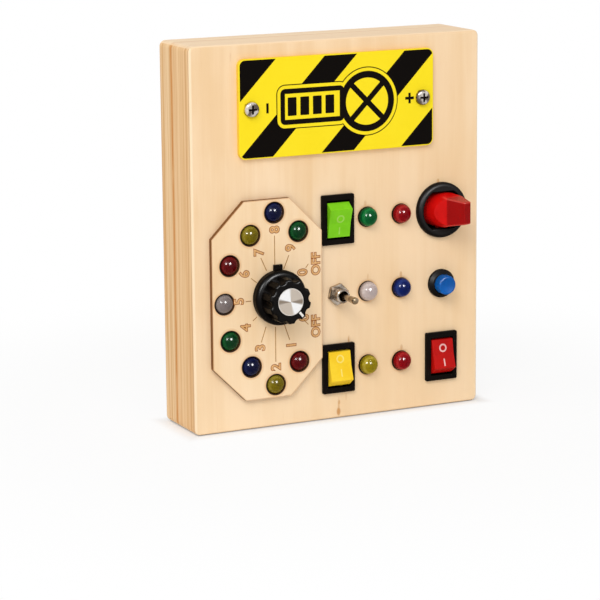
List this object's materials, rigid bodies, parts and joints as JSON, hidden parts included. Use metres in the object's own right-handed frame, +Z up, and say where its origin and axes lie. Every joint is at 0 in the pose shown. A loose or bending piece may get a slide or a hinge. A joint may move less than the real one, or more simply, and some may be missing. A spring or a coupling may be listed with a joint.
{
  "type": "wooden busy board",
  "caption": "Wooden switch board toy with an engraved dial, lamps, rockers, a toggle, a push button and a round paddle switch.",
  "frame": {"origin": "middle of the bottom face, half way through the depth", "axes": "+X to the right seen from the front, -Y out of the front, +Z up"},
  "size_m": [0.13, 0.0473, 0.157],
  "materials": {
    "board_wood": "pale, sanded",
    "plate_wood": "pale plywood, engraved",
    "sign": "yellow and black, satin",
    "chrome": "bright",
    "steel": "satin",
    "nickel": "bright nickel",
    "brass": "satin",
    "black_plastic": "matte black",
    "black_gloss": "gloss black",
    "cap_metal": "spun",
    "white_plastic": "white",
    "battery": "wrapped can",
    "green_plastic": "lime green",
    "yellow_plastic": "yellow",
    "red_plastic": "red",
    "blue_plastic": "blue",
    "lamp_green": "deep green, clear",
    "lamp_red": "deep red, clear",
    "lamp_blue": "deep blue, clear",
    "lamp_yellow": "olive yellow, clear",
    "lamp_white": "milky grey"
  },
  "bodies": {
    "board": {"front_board": "board_wood", "back_board": "board_wood", "back_board_screws": "steel", "dial_plate": "plate_wood", "sign_plate": "sign", "sign_screws": "chrome", "battery_tray": "black_plastic", "battery_cells": "battery", "battery_spring_contacts": "steel", "battery_flat_contacts": "steel", "battery_tray_screws": "steel", "dial_led_1": "lamp_red", "dial_led_2": "lamp_yellow", "dial_led_3": "lamp_blue", "dial_led_4": "lamp_green", "dial_led_5": "lamp_white", "dial_led_6": "lamp_red", "dial_led_7": "lamp_yellow", "dial_led_8": "lamp_blue", "dial_led_9": "lamp_green", "row_led_green": "lamp_green", "row_led_red_top": "lamp_red", "row_led_white": "lamp_white", "row_led_blue": "lamp_blue", "row_led_yellow": "lamp_yellow", "row_led_red_low": "lamp_red", "led_legs": "steel", "rotary_switch_frame": "steel", "rotary_switch_body": "black_plastic", "rotary_switch_terminals": "brass", "rotary_switch_washer": "steel", "rotary_switch_nut": "steel", "dial_base_ring": "black_plastic", "green_rocker_housing": "black_plastic", "yellow_rocker_housing": "black_plastic", "red_rocker_housing": "black_plastic", "rocker_terminals": "brass", "toggle_body": "black_plastic", "toggle_bushing": "nickel", "toggle_nut": "nickel", "toggle_terminals": "brass", "button_body": "black_plastic", "button_spring": "steel", "button_nut": "steel", "button_terminals": "brass", "paddle_housing": "black_plastic", "paddle_terminals": "brass"},
    "dial": {"rotary_shaft": "steel", "dial_knob": "black_gloss", "dial_knob_cap": "cap_metal", "dial_pointer": "white_plastic"},
    "green_rocker": {"green_rocker": "green_plastic"},
    "yellow_rocker": {"yellow_rocker": "yellow_plastic"},
    "red_rocker": {"red_rocker": "red_plastic"},
    "toggle_lever": {"toggle_lever": "nickel"},
    "button": {"button_cap": "blue_plastic"},
    "paddle": {"paddle": "red_plastic"}
  },
  "joints": [
    {"name": "dial_turn", "type": "hinge", "parent": "board", "child": "dial", "pos_m": [-0.02889, -0.015, 0.05443], "axis": [0, 1, 0], "range_deg": [0, 280]},
    {"name": "green_rocker_tilt", "type": "hinge", "parent": "board", "child": "green_rocker", "pos_m": [-0.00078, -0.013, 0.08334], "axis": [1, 0, 0], "range_deg": [-28, 0]},
    {"name": "yellow_rocker_tilt", "type": "hinge", "parent": "board", "child": "yellow_rocker", "pos_m": [-0.00078, -0.013, 0.02133], "axis": [1, 0, 0], "range_deg": [0, 28]},
    {"name": "red_rocker_tilt", "type": "hinge", "parent": "board", "child": "red_rocker", "pos_m": [0.04732, -0.013, 0.02133], "axis": [1, 0, 0], "range_deg": [0, 28]},
    {"name": "toggle_tilt", "type": "hinge", "parent": "board", "child": "toggle_lever", "pos_m": [-0.00078, -0.016, 0.05233], "axis": [1, 0, 0], "range_deg": [-11, 11]},
    {"name": "button_push", "type": "slide", "parent": "board", "child": "button", "axis": [0, 1, 0], "range_m": [0, 0.0025], "stiffness_N_per_m": 400, "springref_m": -0.001, "deforming": ["button_spring"]},
    {"name": "paddle_tilt", "type": "hinge", "parent": "board", "child": "paddle", "pos_m": [0.04732, -0.013, 0.08334], "axis": [0, 0, 1], "range_deg": [-37, 0]}
  ]
}
